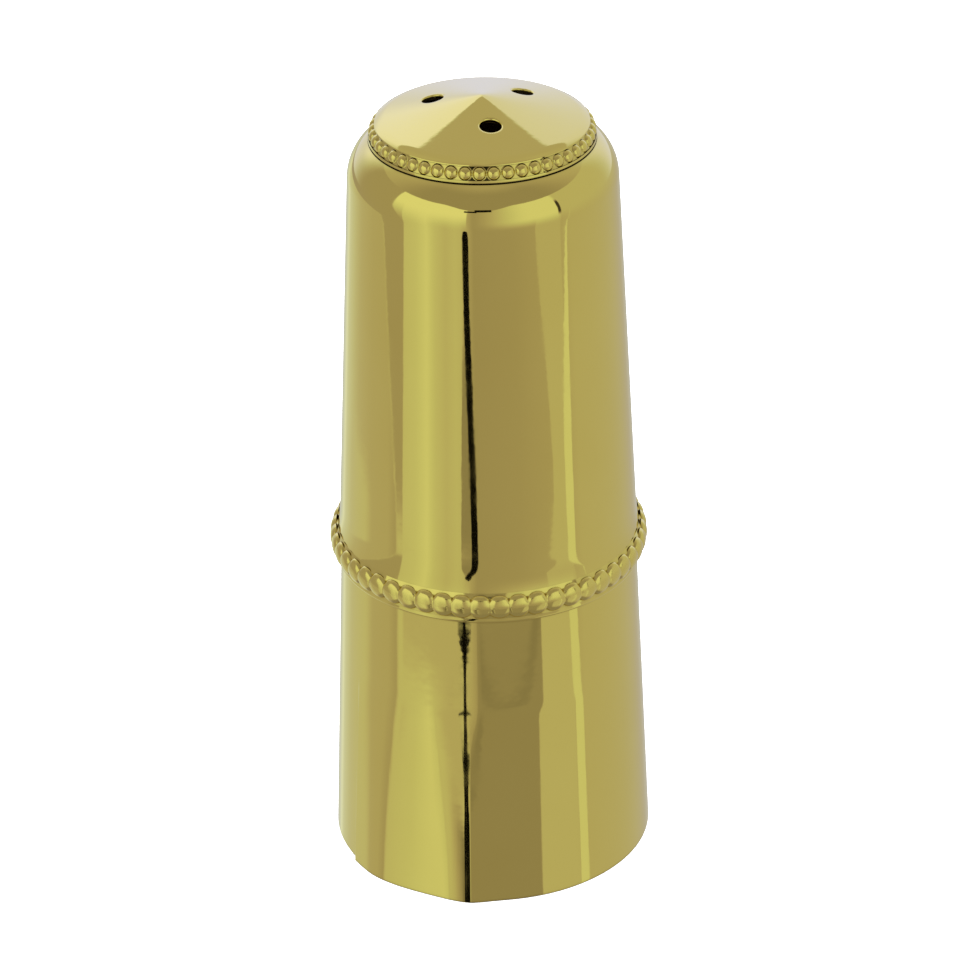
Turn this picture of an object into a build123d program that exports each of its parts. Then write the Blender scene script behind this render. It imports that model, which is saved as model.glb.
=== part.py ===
"""Alto saxophone ligature with its mouthpiece cap, in lacquered brass.

The ligature is a tapered split band that two thumb screws draw closed.
The cap stands on the ligature's top rim and lifts straight off.

The origin is the centre of the ligature's bottom rim, and +Z runs up towards
the point of the cap's crown.  A bearing is an angle round the axis in degrees,
counted from -Y towards +X.  All sizes are in millimetres.
"""
from build123d import *
from math import asin, cos, degrees, floor, pi, radians, sin, tan
import os

# ---------------------------------------------------------- ligature band
ligature_height = 34.2
rim_radius = 15.9             # outside of the band at its bottom rim
band_narrowing = 1.45         # loss of radius from the bottom rim to the top
band_wall = 0.5
slit_width = 5.0
slit_bearing = 158.0
slit_corner_radius = 1.6
reed_width = 13.4             # between the two sides of the reed channel
reed_bearing = -34.5
reed_channel_height = 24.0
reed_channel_rise = 0.42      # how far the channel stands proud at the rim
reed_channel_depth = 0.3      # how deep it is inside at the rim

# --------------------------------------------------- posts and thumb screws
lower_screw_height = 9.0
upper_screw_drop = 9.2        # from the band's top rim down to the upper screw
screw_stand_off = 1.75        # from the band's outside to the screw's axis
screw_radius = 1.25
thread_clearance = 0.03
plain_hole_clearance = 0.08
post_radius = 2.1
post_edge_margin = 0.9        # from the edge of the slit to the post
post_crown_height = 2.1       # from the screw's axis to the top of the post
post_rounding = 0.9
screw_end_length = 1.0        # screw standing out past the threaded post
collar_radius = 2.4
collar_length = 1.4
collar_gap = 0.1              # between the collar and the plain post
boss_radius = 1.7
boss_length = 2.4
thumb_length = 9.0
thumb_width = 8.0
thumb_thickness = 1.3
thumb_setback = 1.1           # from the collar to the thumb plate
edge_rounding = 0.3

# -------------------------------------------------------------- cap shell
cap_height = 48.2             # from the edge of the mouth to the crown's point
cap_overlap = 2.55            # how far the mouth reaches down over the band
cap_wall = 0.5
cap_taper = 0.049             # loss of radius for each millimetre of height
seat_gap = 0.1                # between the band's top rim and the cap's ledge
mouth_clearance = 0.1         # radial, between the mouth and the band
mouth_wall = 0.35
mouth_lip = 0.07
mouth_lip_height = 0.5
ledge_thickness = 0.55
bead_shelf_height = 0.4
flare_height = 1.7
flare_step = 0.25
shoulder_height = 3.7

# ------------------------------------------------------------- cap crown
crown_height = 4.3            # from its seat on the shell to its point
crown_seat_radius = 10.7
crown_seat_width = 1.13
crown_seat_thickness = 0.75
crown_slope = 13.5            # degrees
crown_wall = 0.5
crown_lip_inset = 0.75        # from the seat's edge in to the lip
crown_lip_height = 1.7        # from the seat to the lip
crown_edge_length = 0.95      # the rounding between the cone and the lip
crown_lip_thickness = 0.2
crown_margin_height = 0.42
crown_margin_lean = 0.08
seat_slit = 0.12              # the fine open line under the crown's edge
seat_slit_depth = 0.3
spigot_length = 1.0
spigot_clearance = 0.02
vent_count = 3
vent_radius = 1.0
vent_circle_radius = 4.9
vent_circle_shift = 0.35       # the vents sit a little off centre, away from -Y
vent_bearing = 9.0

# ------------------------------------------------------------ bead rings
mouth_bead_radius = 0.88
mouth_core_radius = 0.78
mouth_bead_proud = 0.58       # how far the beads stand out of the mouth's wall
crown_bead_radius = 0.645
crown_core_radius = 0.42
crown_bead_inset = 0.16       # from the channel's slope in to the bead centres
bead_groove_clearance = 0.02

# ------------------------------------------- sizes that follow from these
band_taper = band_narrowing / ligature_height
upper_screw_height = ligature_height - upper_screw_drop
mouth_bottom = ligature_height - cap_overlap
ledge_height = ligature_height + seat_gap
mouth_radius = rim_radius - band_taper * mouth_bottom + mouth_clearance
mouth_outer_radius = mouth_radius + mouth_wall
flare_bottom = ledge_height + ledge_thickness
flare_top = flare_bottom + flare_height
flare_radius = mouth_outer_radius - flare_step
body_radius = flare_radius - flare_step
crown_point = mouth_bottom + cap_height
crown_seat = crown_point - crown_height
shoulder_bottom = crown_seat - shoulder_height
shoulder_radius = body_radius - cap_taper * (shoulder_bottom - flare_top)
spigot_radius = crown_seat_radius - crown_seat_width
post_offset = slit_width / 2 + post_edge_margin + post_radius
collar_start = post_offset + post_radius + collar_gap
collar_end = collar_start + collar_length


def band_radius(height):
    """Outside radius of the ligature band at a height."""
    return rim_radius - band_taper * height


def heading(bearing):
    """Unit vector that points straight out at a bearing."""
    return Vector(sin(radians(bearing)), -cos(radians(bearing)), 0)


outward = heading(slit_bearing)
tipward = heading(slit_bearing - 90)     # along the screws, from head to tip
up = Vector(0, 0, 1)


def screw_reach(height):
    """Distance of a screw's axis from the ligature's axis."""
    return band_radius(height) + screw_stand_off


def screw_plane(height):
    """Plane across a screw at the middle of the slit: X out, Y up, Z to the tip."""
    return Plane(origin=outward * screw_reach(height) + up * height, x_dir=outward, z_dir=tipward)


os.makedirs("parts", exist_ok=True)

# ---------------------------------------------------------- ligature_band
half_reed_angle = degrees(asin(reed_width / 2 / rim_radius))
reed_side = heading(reed_bearing - half_reed_angle)
reed_plane = Plane(origin=(0, 0, 0), x_dir=reed_side, z_dir=reed_side.cross(up))
top_radius = band_radius(ligature_height)
channel_top_radius = band_radius(reed_channel_height)
slit_half = slit_width / 2
slit_flare = slit_half + slit_corner_radius

with BuildPart() as ligature_band:
    with BuildSketch(Plane.XZ):
        with BuildLine():
            Polyline(
                (rim_radius - band_wall, 0),
                (rim_radius, 0),
                (top_radius, ligature_height),
                (top_radius - band_wall, ligature_height),
                close=True,
            )
        make_face()
    revolve(axis=Axis.Z)
    # the reed channel takes the place of a sector of the plain cone
    with BuildSketch(reed_plane):
        with BuildLine():
            Polyline(
                (rim_radius - band_wall, 0),
                (rim_radius, 0),
                (channel_top_radius, reed_channel_height),
                (channel_top_radius - band_wall, reed_channel_height),
                close=True,
            )
        make_face()
    revolve(axis=Axis.Z, revolution_arc=2 * half_reed_angle, mode=Mode.SUBTRACT)
    with BuildSketch(reed_plane):
        with BuildLine():
            Polyline(
                (rim_radius - band_wall + reed_channel_depth, 0),
                (rim_radius + reed_channel_rise, 0),
                (channel_top_radius, reed_channel_height),
                (channel_top_radius - band_wall, reed_channel_height),
                close=True,
            )
        make_face()
    revolve(axis=Axis.Z, revolution_arc=2 * half_reed_angle)
    # the slit, where the sheet's four corners are rounded
    with BuildSketch(Plane(origin=(0, 0, 0), x_dir=tipward, z_dir=-outward)):
        with BuildLine():
            slit_top = ligature_height - slit_corner_radius
            CenterArc((slit_flare, slit_corner_radius), slit_corner_radius, 270, -90)
            Line((slit_half, slit_corner_radius), (slit_half, slit_top))
            CenterArc((slit_flare, slit_top), slit_corner_radius, 180, -90)
            Line((slit_flare, ligature_height), (-slit_flare, ligature_height))
            CenterArc((-slit_flare, slit_top), slit_corner_radius, 90, -90)
            Line((-slit_half, slit_top), (-slit_half, slit_corner_radius))
            CenterArc((-slit_flare, slit_corner_radius), slit_corner_radius, 0, -90)
            Line((-slit_flare, 0), (slit_flare, 0))
        make_face()
    extrude(amount=-2 * rim_radius, mode=Mode.SUBTRACT)
ligature_band.part.label = "ligature_band"
export_step(ligature_band.part, "parts/ligature_band.step")

# --------------------------------------- the hardware at each screw's height
for level, height in (("lower", lower_screw_height), ("upper", upper_screw_height)):
    # the two posts, soldered to the band on either side of the slit
    for kind, side, hole_radius in (
        ("threaded", 1, screw_radius + thread_clearance),
        ("plain", -1, screw_radius + plain_hole_clearance),
    ):
        post_foot = tipward * (side * post_offset) + up * height
        with BuildPart() as post:
            with BuildSketch(Plane(origin=post_foot, x_dir=up, z_dir=outward)):
                Circle(post_radius)
            extrude(amount=screw_reach(height) + post_crown_height)
            fillet(post.faces().sort_by(Axis(post_foot, outward))[-1].edges(), post_rounding)
            Cone(
                rim_radius,
                top_radius,
                ligature_height,
                align=(Align.CENTER, Align.CENTER, Align.MIN),
                mode=Mode.SUBTRACT,
            )
            with BuildSketch(screw_plane(height)):
                Circle(hole_radius)
            extrude(amount=collar_start, both=True, mode=Mode.SUBTRACT)
        post.part.label = f"{level}_{kind}_post"
        export_step(post.part, f"parts/{level}_{kind}_post.step")

    # the flat thumb plate, soldered into the boss of its screw
    thumb_start = collar_end + thumb_setback
    thumb_plane = Plane(origin=screw_plane(height).origin, x_dir=-tipward, z_dir=outward)
    with BuildPart() as thumb_plate:
        with BuildSketch(thumb_plane):
            with Locations((thumb_start + thumb_length / 2, 0)):
                Ellipse(thumb_length / 2, thumb_width / 2)
            with Locations((thumb_start, 0)):
                Rectangle(thumb_length / 2, 2 * boss_radius, align=(Align.MIN, Align.CENTER))
        extrude(amount=thumb_thickness / 2, both=True)
        flat_faces = thumb_plate.faces().filter_by(Axis(thumb_plane.origin, outward))
        fillet(flat_faces.edges(), edge_rounding)
    thumb_plate.part.label = f"{level}_thumb_plate"
    export_step(thumb_plate.part, f"parts/{level}_thumb_plate.step")

    # the screw: threaded shank, collar against the plain post, slotted boss
    with BuildPart() as thumb_screw:
        with BuildSketch(screw_plane(height)):
            Circle(screw_radius)
        extrude(amount=post_offset + post_radius + screw_end_length)
        with BuildSketch(screw_plane(height)):
            Circle(screw_radius)
        extrude(amount=-collar_start)
        with BuildSketch(screw_plane(height).offset(-collar_start)):
            Circle(collar_radius)
        extrude(amount=-collar_length)
        with BuildSketch(screw_plane(height).offset(-collar_end)):
            Circle(boss_radius)
        extrude(amount=-boss_length)
        add(thumb_plate.part, mode=Mode.SUBTRACT)
    thumb_screw.part.label = f"{level}_thumb_screw"
    export_step(thumb_screw.part, f"parts/{level}_thumb_screw.step")

# -------------------------------------------------------------- cap_shell
ledge_radius = body_radius + cap_taper * (flare_top - ledge_height) - cap_wall
spigot_hole_radius = spigot_radius + spigot_clearance
seat_underside = crown_seat - crown_seat_thickness

with BuildPart() as cap_shell:
    with BuildSketch(Plane.XZ):
        with BuildLine():
            Polyline(
                (ledge_radius, ledge_height),
                (mouth_radius, ledge_height),
                (mouth_radius, mouth_bottom),
                (mouth_outer_radius + mouth_lip, mouth_bottom),
                (mouth_outer_radius, mouth_bottom + mouth_lip_height),
                (mouth_outer_radius, flare_bottom - bead_shelf_height),
                (flare_radius, flare_bottom),
            )
            TangentArc((body_radius, flare_top), (flare_radius, flare_bottom), tangent=(cap_taper, -1))
            Line((body_radius, flare_top), (shoulder_radius, shoulder_bottom))
            TangentArc(
                (shoulder_radius, shoulder_bottom),
                (crown_seat_radius, crown_seat),
                tangent=(-cap_taper, 1),
            )
            Polyline(
                (crown_seat_radius, crown_seat),
                (spigot_hole_radius, crown_seat),
                (spigot_hole_radius, seat_underside),
            )
            TangentArc(
                (shoulder_radius - cap_wall, shoulder_bottom),
                (spigot_hole_radius, seat_underside),
                tangent=(-cap_taper, 1),
            )
            Line((shoulder_radius - cap_wall, shoulder_bottom), (ledge_radius, ledge_height))
        make_face()
    revolve(axis=Axis.Z)
cap_shell.part.label = "cap_shell"
export_step(cap_shell.part, "parts/cap_shell.step")

# -------------------------------------------------------------- cap_crown
slope_fall = tan(radians(crown_slope))
lip_radius = crown_seat_radius - crown_lip_inset
lip_height = crown_seat + crown_lip_height
cone_edge_radius = lip_radius - crown_edge_length
margin_radius = crown_seat_radius - crown_margin_lean
margin_height = crown_seat + crown_margin_height
inner_radius = spigot_radius - crown_wall
inner_point = crown_point - crown_wall / cos(radians(crown_slope))
# the beads lie in a groove half way down the slope between lip and margin
slope = Vector(margin_radius - lip_radius, margin_height - lip_height + crown_lip_thickness).normalized()
slope_middle = Vector(lip_radius + margin_radius, lip_height - crown_lip_thickness + margin_height) / 2
bead_centre = slope_middle + Vector(slope.Y, -slope.X) * crown_bead_inset
crown_bead_circle = bead_centre.X
crown_bead_height = bead_centre.Y
crown_bead_count = floor(pi * crown_bead_circle / crown_bead_radius)

with BuildPart() as cap_crown:
    with BuildSketch(Plane.XZ):
        with BuildLine():
            cone_edge = (cone_edge_radius, crown_point - slope_fall * cone_edge_radius)
            Line((0, crown_point), cone_edge)
            TangentArc(cone_edge, (lip_radius, lip_height), tangent=(1, -slope_fall))
            Polyline(
                (lip_radius, lip_height),
                (lip_radius, lip_height - crown_lip_thickness),
                (margin_radius, margin_height),
                (crown_seat_radius, crown_seat + seat_slit),
                (crown_seat_radius - seat_slit_depth, crown_seat + seat_slit),
                (crown_seat_radius - seat_slit_depth, crown_seat),
                (spigot_radius, crown_seat),
                (spigot_radius, crown_seat - spigot_length),
                (inner_radius, crown_seat - spigot_length),
                (inner_radius, inner_point - slope_fall * inner_radius),
                (0, inner_point),
                (0, crown_point),
            )
        make_face()
        with Locations((crown_bead_circle, crown_bead_height)):
            Circle(crown_bead_radius + bead_groove_clearance, mode=Mode.SUBTRACT)
    revolve(axis=Axis.Z)
    with BuildSketch(Plane.XY.offset(crown_seat)):
        with Locations((0, vent_circle_shift)):
            with PolarLocations(vent_circle_radius, vent_count, start_angle=vent_bearing - 90):
                Circle(vent_radius)
    extrude(amount=crown_height, mode=Mode.SUBTRACT)
cap_crown.part.label = "cap_crown"
export_step(cap_crown.part, "parts/cap_crown.step")

# -------------------------------------------------------- crown_bead_ring
with BuildPart() as crown_bead_ring:
    with Locations((0, 0, crown_bead_height)):
        Torus(crown_bead_circle, crown_core_radius)
        with PolarLocations(crown_bead_circle, crown_bead_count):
            Sphere(crown_bead_radius)
crown_bead_ring.part.label = "crown_bead_ring"
export_step(crown_bead_ring.part, "parts/crown_bead_ring.step")

# -------------------------------------------------------- mouth_bead_ring
mouth_bead_circle = mouth_outer_radius + mouth_bead_proud - mouth_bead_radius
mouth_bead_height = (mouth_bottom + mouth_lip_height + flare_bottom - bead_shelf_height) / 2
mouth_bead_count = floor(pi * mouth_bead_circle / mouth_bead_radius)

with BuildPart() as mouth_bead_ring:
    with Locations((0, 0, mouth_bead_height)):
        Torus(mouth_bead_circle, mouth_core_radius)
        with PolarLocations(mouth_bead_circle, mouth_bead_count):
            Sphere(mouth_bead_radius)
        Cylinder(mouth_outer_radius, 4 * mouth_bead_radius, mode=Mode.SUBTRACT)
mouth_bead_ring.part.label = "mouth_bead_ring"
export_step(mouth_bead_ring.part, "parts/mouth_bead_ring.step")
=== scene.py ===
"""Looks for the saxophone ligature and its mouthpiece cap.

Lengths are millimetres in the part's own frame, turned into metres when a mesh is made.
A bearing is an angle round the axis in degrees, counted from -Y towards +X.
"""
import math
import bmesh
import bpy
from mathutils import Matrix, Vector
from mathutils.geometry import delaunay_2d_cdt


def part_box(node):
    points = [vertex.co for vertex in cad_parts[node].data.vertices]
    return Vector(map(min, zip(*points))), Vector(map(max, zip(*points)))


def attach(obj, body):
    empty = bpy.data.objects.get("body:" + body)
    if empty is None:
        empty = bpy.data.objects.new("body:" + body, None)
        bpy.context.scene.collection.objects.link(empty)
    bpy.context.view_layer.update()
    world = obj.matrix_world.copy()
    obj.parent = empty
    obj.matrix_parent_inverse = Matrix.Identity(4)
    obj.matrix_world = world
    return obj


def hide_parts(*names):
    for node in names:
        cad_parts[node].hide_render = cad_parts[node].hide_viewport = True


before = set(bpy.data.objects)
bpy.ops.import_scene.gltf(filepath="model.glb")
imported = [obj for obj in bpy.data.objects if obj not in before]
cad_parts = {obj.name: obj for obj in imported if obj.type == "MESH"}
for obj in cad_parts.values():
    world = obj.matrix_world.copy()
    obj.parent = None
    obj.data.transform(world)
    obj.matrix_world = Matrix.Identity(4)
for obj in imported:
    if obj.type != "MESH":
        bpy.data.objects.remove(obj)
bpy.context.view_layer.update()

MM = 0.001


# ------------------------------------------------------------ measures
def node_box(node):
    """Lowest and highest corner of a CAD node, in millimetres."""
    low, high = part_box(node)
    return [c / MM for c in low], [c / MM for c in high]


band_high = node_box("ligature_band")[1]
shell_low, shell_high = node_box("cap_shell")
crown_high = node_box("cap_crown")[1]
mouth_beads_low, mouth_beads_high = node_box("mouth_bead_ring")
crown_beads_low, crown_beads_high = node_box("crown_bead_ring")

WALL = 0.5
CAP_SEGMENTS = 420

BAND_HEIGHT = band_high[2]
RIM_RADIUS = band_high[0]
BAND_NARROWING = 1.45
BAND_TAPER = BAND_NARROWING / BAND_HEIGHT
BAND_BEVEL = 0.09
BAND_INSIDE_FOLLOW = 0.85    # the inner face repeats this share of the outer one's dents
SLIT_WIDTH = 5.0
SLIT_BEARING = 158.0
SLIT_CORNER = 1.6
REED_WIDTH = 13.4
REED_BEARING = -34.5
REED_HALF_ANGLE = math.degrees(math.asin(REED_WIDTH / 2 / RIM_RADIUS))
REED_CHANNEL_HEIGHT = 21.5
REED_STEP_RISE = 0.36
FRONT_CREASE = -9.5

MOUTH_BOTTOM = shell_low[2]
MOUTH_LIP_RADIUS = shell_high[0]
MOUTH_LIP_HEIGHT = 0.5
MOUTH_LIP_ROUNDING = 0.28
MOUTH_INNER_ROUNDING = 0.1
MOUTH_OUTER = MOUTH_LIP_RADIUS - 0.07
MOUTH_INNER = MOUTH_OUTER - 0.35
LEDGE_HEIGHT = BAND_HEIGHT + 0.1
FLARE_BOTTOM = LEDGE_HEIGHT + 0.55
FLARE_SHELF = FLARE_BOTTOM - 0.4
FLARE_TOP = FLARE_BOTTOM + 1.7
FLARE_RADIUS = MOUTH_OUTER - 0.25
BODY_RADIUS = FLARE_RADIUS - 0.25
SWEEP_TOP = FLARE_BOTTOM + 3.3
SWEEP_STEPS = 24
CAP_TAPER = 0.049
SEAT_HEIGHT = shell_high[2]
SEAT_RADIUS = crown_high[0]
SEAT_THICKNESS = 0.75
SHOULDER_BOTTOM = SEAT_HEIGHT - 3.7
SHOULDER_RADIUS = BODY_RADIUS - CAP_TAPER * (SHOULDER_BOTTOM - FLARE_TOP)
SPIGOT_HOLE = SEAT_RADIUS - 1.11

CROWN_POINT = crown_high[2]
CROWN_SLOPE = math.tan(math.radians(13.5))
CROWN_SOFTNESS = 0.1
CROWN_WALL = 0.52
CROWN_SEGMENTS = 240
CROWN_UNDERCUT = 0.3
LIP_RADIUS = SEAT_RADIUS - 0.65
LIP_HEIGHT = SEAT_HEIGHT + 1.7
CONE_EDGE = LIP_RADIUS - 0.95
MARGIN_HEIGHT = SEAT_HEIGHT + 0.15
SPIGOT_RADIUS = SPIGOT_HOLE - 0.02
SPIGOT_INNER = SPIGOT_RADIUS - 0.5
SPIGOT_LENGTH = 1.0
VENT_COUNT = 3
VENT_RADIUS = 1.0
VENT_CIRCLE = 4.9
VENT_SHIFT = 0.35
VENT_BEARING = 9.0
VENT_POINTS = 48
VENT_HALOS = (0.03, 0.16)
VENT_CLEARANCE = 0.3
CROWN_MESH_STEP = 0.45
# how far out from the vent's wall, and how far below the crown's face, each ring of its edge is
VENT_BEVEL = ((0.16, 0.0), (0.1, 0.015), (0.05, 0.05), (0.015, 0.1), (0.0, 0.17))
VENT_EDGE = VENT_BEVEL[0][0]

STRIP_TOP = (LIP_RADIUS + 0.03, LIP_HEIGHT - 0.1)
STRIP_FOOT = (SEAT_RADIUS - 0.06, SEAT_HEIGHT + 0.4)
STRIP_DEPTH = 0.12
STRIP_RUN = Vector(STRIP_FOOT) - Vector(STRIP_TOP)
STRIP_OUT = Vector((-STRIP_RUN.y, STRIP_RUN.x)).normalized()
CROWN_BEAD_RADIUS = (crown_beads_high[2] - crown_beads_low[2]) / 2
CROWN_BEAD_CIRCLE = crown_beads_high[0] - CROWN_BEAD_RADIUS
CROWN_BEAD_COUNT = math.floor(math.pi * CROWN_BEAD_CIRCLE / CROWN_BEAD_RADIUS)
CROWN_PEARL_RISE = 0.33
MOUTH_BEAD_RADIUS = 0.88
MOUTH_BEAD_HEIGHT = (mouth_beads_high[2] + mouth_beads_low[2]) / 2
MOUTH_BEAD_CIRCLE = mouth_beads_high[0] - MOUTH_BEAD_RADIUS
MOUTH_BEAD_COUNT = 52
MOUTH_PEARL_CENTRE = MOUTH_BEAD_CIRCLE + 0.14
MOUTH_PEARL_WIDTH = mouth_beads_high[0] - MOUTH_PEARL_CENTRE
MOUTH_PEARL_HEIGHT = MOUTH_BEAD_HEIGHT + 0.18
MOUTH_PEARL_RISE = 1.28
MOUTH_PEARL_ARC = 80         # degrees of the pearl's front, up and down from its middle
PEARL_COLUMNS = 24


def heading(bearing):
    """Unit vector that points straight out at a bearing."""
    return Vector((math.sin(math.radians(bearing)), -math.cos(math.radians(bearing)), 0.0))


# --------------------------------------------------------- mesh helpers
def make_object(name, vertices, faces, material):
    """A smooth object from points in millimetres."""
    mesh = bpy.data.meshes.new(name)
    mesh.from_pydata([tuple(c * MM for c in v) for v in vertices], [], faces)
    mesh.validate()
    mesh.polygons.foreach_set("use_smooth", [True] * len(mesh.polygons))
    piece = bpy.data.objects.new(name, mesh)
    bpy.context.scene.collection.objects.link(piece)
    mesh.materials.append(material)
    return piece


def turn_between(start, end, centre):
    """Angle of start seen from centre, and the shorter turn from start to end."""
    first = math.atan2(start.y - centre.y, start.x - centre.x)
    last = math.atan2(end.y - centre.y, end.x - centre.x)
    return first, (last - first + math.pi) % (2 * math.pi) - math.pi


def arc_points(start, end, tangent, count):
    """Points of the arc from start to end that leaves start along tangent, end left out."""
    s, e, t = Vector(start), Vector(end), Vector(tangent).normalized()
    chord = e - s
    side = Vector((-t.y, t.x))
    across = chord.dot(side)
    radius = chord.length_squared / (2 * across)
    centre = s + side * radius
    first, sweep = turn_between(s, e, centre)
    angles = [first + sweep * i / count for i in range(count)]
    reach = abs(radius)
    return [(centre.x + reach * math.cos(a), centre.y + reach * math.sin(a)) for a in angles]


def line_points(start, end, count):
    """Evenly spaced points from start towards end, end left out."""
    return [tuple(Vector(start).lerp(Vector(end), i / count)) for i in range(count)]


def round_corner(before, corner, after, radius, count=4):
    """Points that round a corner of an outline off."""
    b, c, a = Vector(before), Vector(corner), Vector(after)
    into, out = (b - c).normalized(), (a - c).normalized()
    half = into.angle(out) / 2
    cut = radius / math.tan(half)
    centre = c + (into + out).normalized() * (radius / math.sin(half))
    first, sweep = turn_between(c + into * cut, c + out * cut, centre)
    angles = [first + sweep * i / count for i in range(count + 1)]
    return [(centre.x + radius * math.cos(a), centre.y + radius * math.sin(a)) for a in angles]


def turned_vertices(outline, segments):
    """The outline of (radius, height) points, copied round the axis."""
    vertices = []
    for i in range(segments):
        angle = 2 * math.pi * i / segments
        vertices += [(r * math.cos(angle), r * math.sin(angle), z) for r, z in outline]
    return vertices


def turned_faces(count, segments, edges):
    """Faces between neighbouring copies of an outline of count points, along its first edges."""
    faces = []
    for i in range(segments):
        here, there = i * count, (i + 1) % segments * count
        for j in range(edges):
            k = (j + 1) % count
            faces.append((here + j, there + j, there + k, here + k))
    return faces


def lathe(name, outline, material, segments):
    """A turned piece: a closed outline spun round the axis."""
    count = len(outline)
    vertices = turned_vertices(outline, segments)
    piece = make_object(name, vertices, turned_faces(count, segments, count), material)
    fix_normals(piece)
    return piece


def fix_normals(piece):
    """Turns every face outwards and joins points that coincide."""
    bm = bmesh.new()
    bm.from_mesh(piece.data)
    bmesh.ops.remove_doubles(bm, verts=bm.verts, dist=1e-8)
    bmesh.ops.recalc_face_normals(bm, faces=bm.faces)
    bm.to_mesh(piece.data)
    bm.free()
    piece.data.polygons.foreach_set("use_smooth", [True] * len(piece.data.polygons))


def mark_creases(piece, angle):
    """Keeps edges sharper than the angle crisp and the rest smooth."""
    piece.data.set_sharp_from_angle(angle=math.radians(angle))


# ------------------------------------------------------------ materials
WORN_SHADE = (0.95, 0.93, 0.84)
# Painted shade: the colours laid into crevices and hollows, and how far a hollow reaches
DARK_CREVICE_SHADE = (0.10, 0.065, 0.02)
SOFT_CREVICE_SHADE = (0.42, 0.31, 0.085)
CREVICE_SHADE_REACH = 0.0004
DRAWN_STRETCH = 0.035


def new_material(name):
    """A metal material, its shader and the coordinates its textures follow."""
    material = bpy.data.materials.new(name)
    material.use_nodes = True
    tree = material.node_tree
    shader = tree.nodes["Principled BSDF"]
    shader.inputs["Metallic"].default_value = 1.0
    place = tree.nodes.new("ShaderNodeTexCoord")
    return material, tree, shader, place.outputs["Object"]


def noise(tree, place, scale, detail, seed=None):
    """A noise texture."""
    node = tree.nodes.new("ShaderNodeTexNoise")
    node.inputs["Scale"].default_value = scale
    node.inputs["Detail"].default_value = detail
    if seed is not None:
        node.noise_dimensions = "4D"
        node.inputs["W"].default_value = seed
    tree.links.new(place, node.inputs["Vector"])
    return node


def colour_mix(tree, factor, a, b):
    """Goes from a to b with the factor; each is a colour or another node's output."""
    node = tree.nodes.new("ShaderNodeMix")
    node.data_type = "RGBA"
    tree.links.new(factor, node.inputs["Factor"])
    for name, value in (("A", a), ("B", b)):
        if isinstance(value, tuple):
            node.inputs[name].default_value = (*value, 1.0)
        else:
            tree.links.new(value, node.inputs[name])
    return node.outputs["Result"]


def map_range(tree, value, start, end, low, high):
    """Goes from low to high as value goes from start to end."""
    node = tree.nodes.new("ShaderNodeMapRange")
    limits = (("From Min", start), ("From Max", end), ("To Min", low), ("To Max", high))
    for name, level in limits:
        node.inputs[name].default_value = level
    tree.links.new(value, node.inputs["Value"])
    return node.outputs["Result"]


def bump(tree, height, strength, distance):
    """A bump node."""
    node = tree.nodes.new("ShaderNodeBump")
    node.inputs["Strength"].default_value = strength
    node.inputs["Distance"].default_value = distance
    tree.links.new(height, node.inputs["Height"])
    return node


def brass_colour(tree, place, colour, seed, crevice_shade):
    """Slightly uneven metal, darkened with painted shade where it is hemmed in."""
    tone = noise(tree, place, 90.0, 4.0, seed)
    worn = tuple(c * f for c, f in zip(colour, WORN_SHADE))
    metal = colour_mix(tree, tone.outputs["Fac"], colour, worn)
    # Painted shade: ambient occlusion darkens the colour towards the crevice colour in hollows
    hollow = tree.nodes.new("ShaderNodeAmbientOcclusion")
    hollow.samples = 4
    hollow.inputs["Distance"].default_value = CREVICE_SHADE_REACH
    openness = map_range(tree, hollow.outputs["AO"], 0.25, 0.85, 0.0, 1.0)
    return colour_mix(tree, openness, crevice_shade, metal)


def brass_relief(tree, place):
    """Marks drawn along the axis under a faint orange peel."""
    stretch = tree.nodes.new("ShaderNodeMapping")
    stretch.inputs["Scale"].default_value = (1.0, 1.0, DRAWN_STRETCH)
    tree.links.new(place, stretch.inputs["Vector"])
    streak = noise(tree, stretch.outputs["Vector"], 900.0, 3.0)
    drawn = bump(tree, streak.outputs["Fac"], 0.035, 0.0001)
    peel = bump(tree, noise(tree, place, 420.0, 2.0).outputs["Fac"], 0.02, 0.0002)
    tree.links.new(drawn.outputs["Normal"], peel.inputs["Normal"])
    return peel.outputs["Normal"]


def brass(name, colour, roughness, smudge, seed, crevice_shade=DARK_CREVICE_SHADE):
    """Polished brass under clear lacquer, with faint smears, swirls and orange peel."""
    material, tree, shader, place = new_material(name)
    shader.inputs["Coat Weight"].default_value = 0.3
    shader.inputs["Coat Roughness"].default_value = 0.05
    shader.inputs["Coat IOR"].default_value = 1.45
    smear = noise(tree, place, 260.0, 6.0)
    smear.inputs["Roughness"].default_value = 0.62
    spread = map_range(tree, smear.outputs["Fac"], 0.38, 0.72, roughness, roughness + smudge)
    tree.links.new(brass_colour(tree, place, colour, seed, crevice_shade), shader.inputs["Base Color"])
    tree.links.new(spread, shader.inputs["Roughness"])
    tree.links.new(brass_relief(tree, place), shader.inputs["Normal"])
    return material


def raw_brass_painted_shade():
    """The unpolished inside of the sheet: dull and mottled, its dark colour painted shade."""
    material, tree, shader, place = new_material("raw_brass_painted_shade")
    stain = noise(tree, place, 180.0, 5.0).outputs["Fac"]
    # Painted shade: a dark colour for faces inside the tube, the vents and the seat, where shade
    # falls
    colour = colour_mix(tree, stain, (0.10, 0.075, 0.03), (0.24, 0.17, 0.07))
    tree.links.new(colour, shader.inputs["Base Color"])
    tree.links.new(map_range(tree, stain, 0.0, 1.0, 0.38, 0.62), shader.inputs["Roughness"])
    return material


def dull_shaded_inside(piece, is_inside):
    """Gives the faces whose centre and normal pass the test the raw inner finish and its painted
    shade.
    """
    piece.data.materials.append(inner_shade_brass)
    for face in piece.data.polygons:
        if is_inside(face.center / MM, face.normal):
            face.material_index = 1


def faces_axis(centre, normal):
    """True for a face that looks towards the axis."""
    return centre.x * normal.x + centre.y * normal.y < -0.35 * math.hypot(centre.x, centre.y)


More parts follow.
